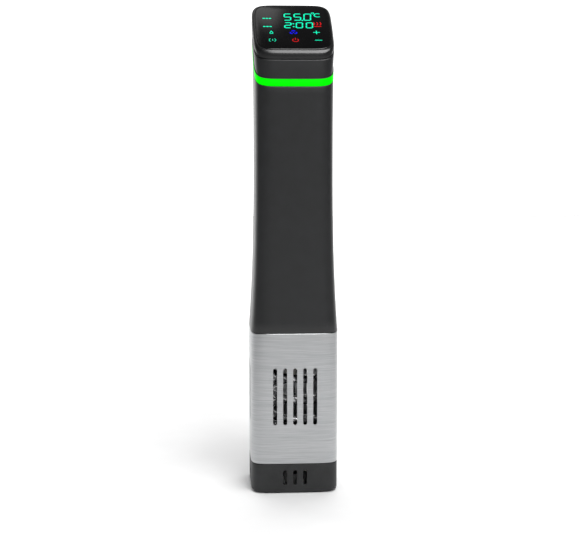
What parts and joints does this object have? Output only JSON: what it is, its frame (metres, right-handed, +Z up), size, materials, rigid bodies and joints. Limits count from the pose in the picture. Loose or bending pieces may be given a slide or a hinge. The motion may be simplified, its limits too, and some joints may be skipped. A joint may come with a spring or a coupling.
{
  "type": "sous vide circulator",
  "caption": "Slim waisted immersion circulator with a slanted touch display, a slanted light ring, a rear screw clamp and a slotted steel skirt over its heater and pump.",
  "frame": {"origin": "centre of the underside of the base cap, where the circulator stands", "axes": "+Z up the tower, -Y to the front where the display slants down, +Y to the back where the clamp is, +X to the viewer's right when facing the front"},
  "size_m": [0.07, 0.1388, 0.3907],
  "materials": {
    "satin_black_shell": "satin moulded charcoal black",
    "black_display_glass": "glossy black touch glass",
    "green_light_ring": "clear green lens, lit from behind",
    "brushed_skirt_steel": "brushed stainless sheet",
    "stainless_tube": "drawn stainless, polished",
    "plated_steel": "zinc plated steel",
    "screw_steel": "stainless screws",
    "bare_aluminium": "bare aluminium",
    "brass_fitting": "machined brass",
    "black_moulding": "fine textured black plastic",
    "white_moulding": "white engineering plastic",
    "circuit_board": "green solder mask",
    "black_rubber": "matte black rubber",
    "knob_rubber": "soft touch black",
    "red_silicone": "red silicone ring"
  },
  "bodies": {
    "housing": {"main_housing": "satin_black_shell", "head_shell": "satin_black_shell", "head_bezel": "satin_black_shell", "display_glass": "black_display_glass", "light_ring": "green_light_ring", "ring_led_board": "circuit_board", "display_board": "circuit_board", "digit_module": "white_moulding", "buzzer": "black_moulding", "case_screw_1": "screw_steel", "case_screw_2": "screw_steel", "case_screw_3": "screw_steel", "case_screw_4": "screw_steel", "cord_gland": "black_rubber", "gland_nut": "black_moulding", "power_board": "circuit_board", "transformer": "black_moulding", "relay": "black_moulding", "filter_capacitor": "black_moulding", "triac_heatsink": "bare_aluminium", "motor_can": "plated_steel", "motor_end_bell": "bare_aluminium", "seal_plate": "black_moulding", "skirt_seal_ring": "red_silicone", "plate_screw_1": "screw_steel", "plate_screw_2": "screw_steel", "plate_screw_3": "screw_steel", "plate_screw_4": "screw_steel", "shaft_seal": "black_rubber", "bearing_tube": "white_moulding", "heater_coil": "stainless_tube", "heater_nut_1": "brass_fitting", "heater_nut_2": "brass_fitting", "temperature_probe": "stainless_tube", "low_level_electrode": "stainless_tube", "high_level_electrode": "stainless_tube", "low_electrode_insulator": "white_moulding", "high_electrode_insulator": "white_moulding", "clamp_bracket": "black_moulding", "threaded_insert": "brass_fitting", "bracket_screw_1": "screw_steel", "bracket_screw_2": "screw_steel", "throat_cushion": "black_rubber"},
    "rotor": {"pump_shaft": "stainless_tube", "motor_rotor": "plated_steel", "cooling_fan": "black_moulding", "impeller": "white_moulding", "impeller_nut": "stainless_tube"},
    "skirt": {"steel_skirt": "brushed_skirt_steel", "base_cap": "black_moulding", "skirt_screw_1": "screw_steel", "skirt_screw_2": "screw_steel", "skirt_screw_3": "screw_steel", "skirt_screw_4": "screw_steel"},
    "clamp_pad": {"clamp_pad": "black_moulding", "pad_cushion": "black_rubber"},
    "clamp_screw": {"clamp_screw": "plated_steel", "clamp_knob": "knob_rubber"}
  },
  "joints": [
    {"name": "rotor_spin", "type": "hinge", "parent": "housing", "child": "rotor", "pos_m": [0, 0, 0.1], "axis": [0, 0, 1], "continuous": true},
    {"name": "skirt_slide", "type": "slide", "parent": "housing", "child": "skirt", "axis": [0, 0, -1], "range_m": [0, 0.125]},
    {"name": "clamp_pad_slide", "type": "slide", "parent": "housing", "child": "clamp_pad", "axis": [0, 1, 0], "range_m": [-0.011, 0.01]},
    {"name": "clamp_screw_turn", "type": "hinge", "parent": "clamp_pad", "child": "clamp_screw", "pos_m": [0, 0.08, 0.163], "axis": [0, 1, 0], "range_deg": [-1980, 1800]}
  ],
  "couplings": [
    {"joint": "clamp_pad_slide", "follows": "clamp_screw_turn", "m_per_rad": 0.0003183}
  ]
}
